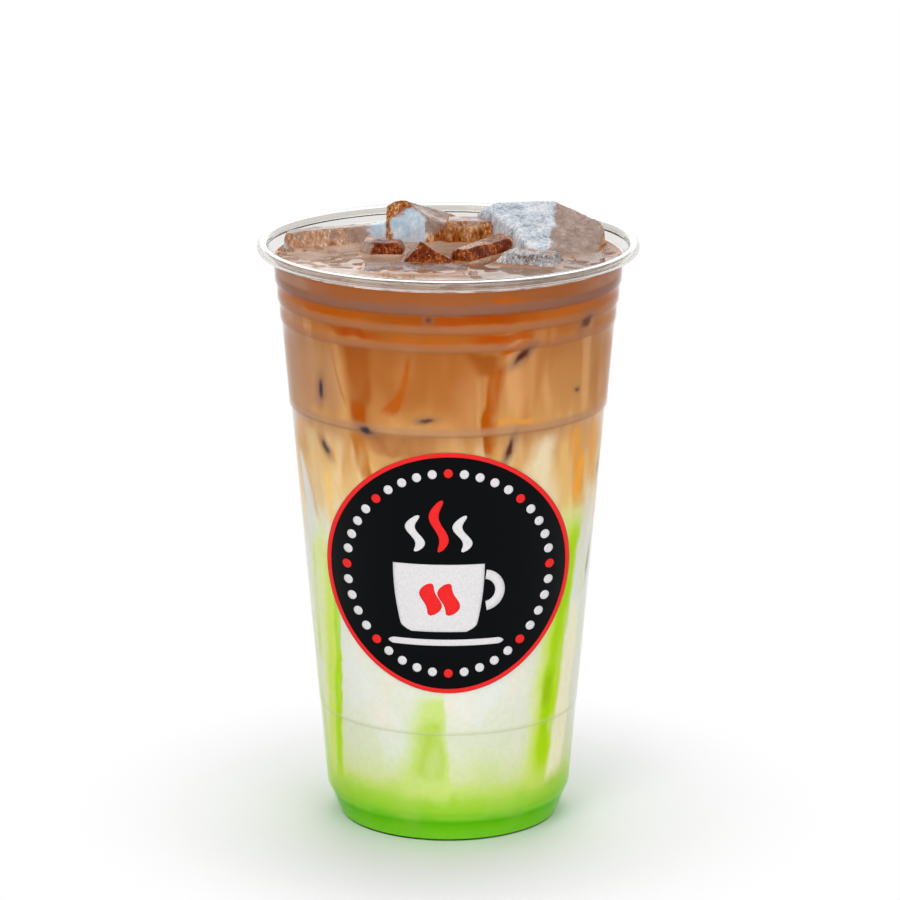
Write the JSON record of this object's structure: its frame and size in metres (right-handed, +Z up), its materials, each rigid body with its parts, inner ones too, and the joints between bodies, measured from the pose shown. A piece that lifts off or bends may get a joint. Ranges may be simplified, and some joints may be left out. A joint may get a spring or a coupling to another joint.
{
  "type": "iced caramel macchiato",
  "caption": "Iced layered coffee in a clear disposable cup, green syrup at the foot, milk and coffee above it, and ice standing out of the top.",
  "frame": {"origin": "middle of the cup's foot, on the table", "axes": "+Z up along the cup's axis, printed front towards -Y"},
  "size_m": [0.098, 0.098, 0.1587],
  "materials": {
    "clear_plastic": "clear thermoformed plastic sheet",
    "green_syrup": null,
    "milk": null,
    "latte": null,
    "coffee": null,
    "ice": "wet ice with a film of coffee",
    "print": "ink printed on the cup's wall"
  },
  "bodies": {
    "root": {"cup": "clear_plastic", "syrup_layer": "green_syrup", "milk_layer": "milk", "latte_layer": "latte", "coffee_layer": "coffee", "ice_back_right": "ice", "ice_back_left": "ice", "ice_left": "ice", "ice_back": "ice", "ice_centre": "ice", "ice_centre_left": "ice", "ice_peak": "ice", "ice_front_right": "ice", "ice_front": "ice"}
  },
  "joints": []
}
